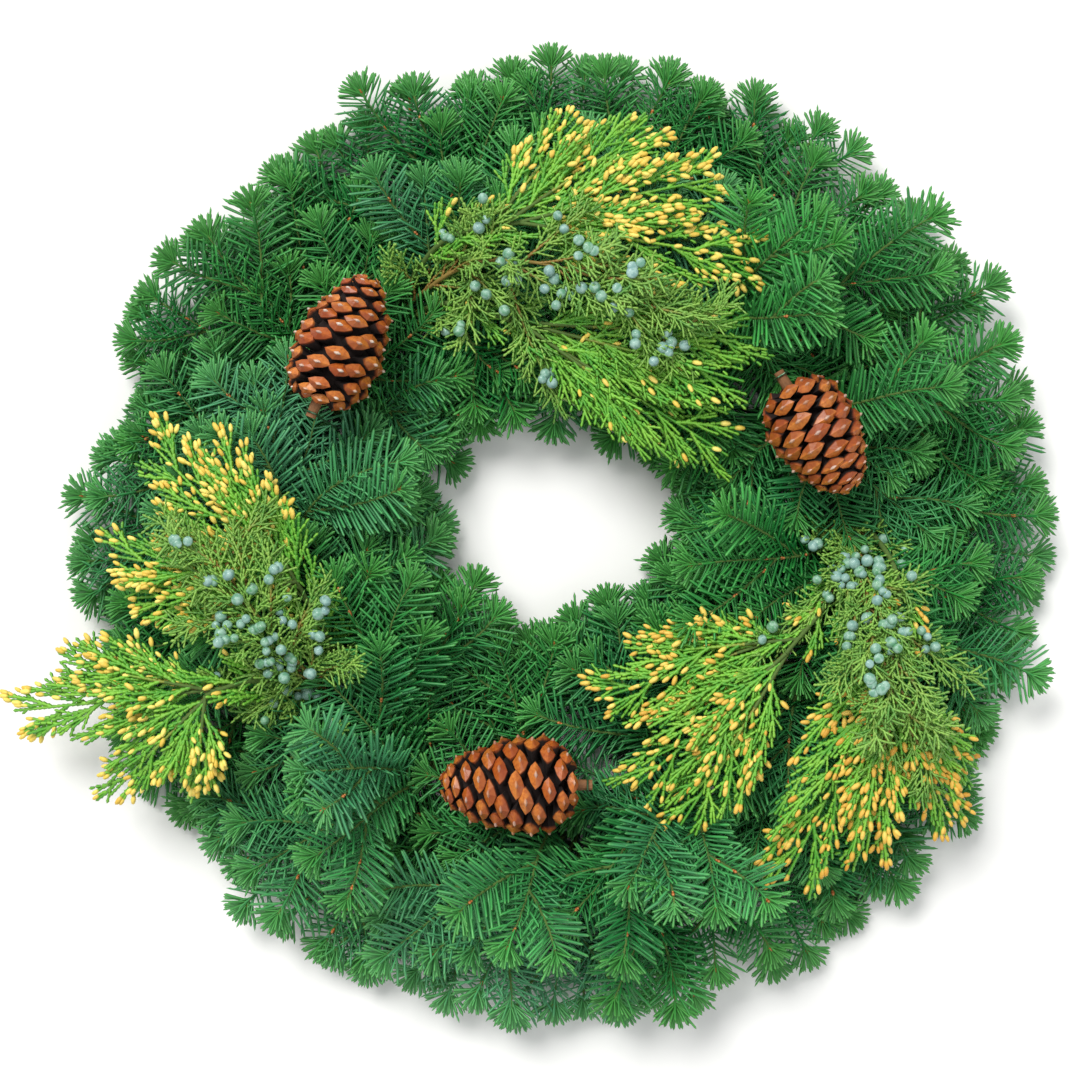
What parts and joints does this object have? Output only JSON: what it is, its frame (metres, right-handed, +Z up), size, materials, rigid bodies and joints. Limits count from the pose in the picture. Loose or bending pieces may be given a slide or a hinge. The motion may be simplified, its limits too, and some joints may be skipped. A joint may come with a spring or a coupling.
{
  "type": "fresh evergreen wreath",
  "caption": "Fresh evergreen wreath: fir bunches clamped round a wire ring, with open pine cones, berried juniper sprays and flat cedar fans, for a door, wall or table",
  "frame": {"origin": "on the surface that the wreath lies on, under the middle of its outline seen from above", "axes": "+Z is up, out of the face that shows; +X and +Y lie in the wreath's plane, with +Y towards its top as it hangs and +X to the right"},
  "size_m": [0.661, 0.6216, 0.1156],
  "materials": {
    "ring_wire": "dark green enamelled steel wire and straps",
    "binding_wire": "green lacquered florist's wire",
    "cone_scales": "dry woody scales, orange-brown ends with pale points, dark between",
    "juniper": "olive-green scale-leaved twigs with waxy pale blue-green berries",
    "cedar": "bright green scale-leaved fans with small yellow pollen cones",
    "fir": "fresh satin needles, mid to blue-green, on olive-brown twigs with red-brown buds"
  },
  "bodies": {
    "root": {"ring_frame": "ring_wire", "cone_upper_left": "cone_scales", "cone_upper_left_wire": "binding_wire", "cone_right": "cone_scales", "cone_right_wire": "binding_wire", "cone_bottom": "cone_scales", "cone_bottom_wire": "binding_wire", "juniper_top": "juniper", "juniper_left": "juniper", "juniper_right": "juniper", "cedar_top_outer": "cedar", "cedar_top_inner": "cedar", "cedar_left_upper": "cedar", "cedar_left_lower": "cedar", "cedar_right_inner": "cedar", "cedar_right_outer": "cedar", "fir_outer_01": "fir", "fir_outer_02": "fir", "fir_outer_03": "fir", "fir_outer_04": "fir", "fir_outer_05": "fir", "fir_outer_06": "fir", "fir_outer_07": "fir", "fir_outer_08": "fir", "fir_outer_09": "fir", "fir_outer_10": "fir", "fir_outer_11": "fir", "fir_outer_12": "fir", "fir_face_01": "fir", "fir_face_02": "fir", "fir_face_03": "fir", "fir_face_04": "fir", "fir_face_05": "fir", "fir_face_06": "fir", "fir_face_07": "fir", "fir_face_08": "fir", "fir_face_09": "fir", "fir_face_10": "fir", "fir_face_11": "fir", "fir_face_12": "fir", "fir_inner_01": "fir", "fir_inner_02": "fir", "fir_inner_03": "fir", "fir_inner_04": "fir", "fir_inner_05": "fir", "fir_inner_06": "fir", "fir_inner_07": "fir", "fir_inner_08": "fir", "fir_inner_09": "fir", "fir_inner_10": "fir", "fir_inner_11": "fir", "fir_inner_12": "fir"}
  },
  "joints": []
}
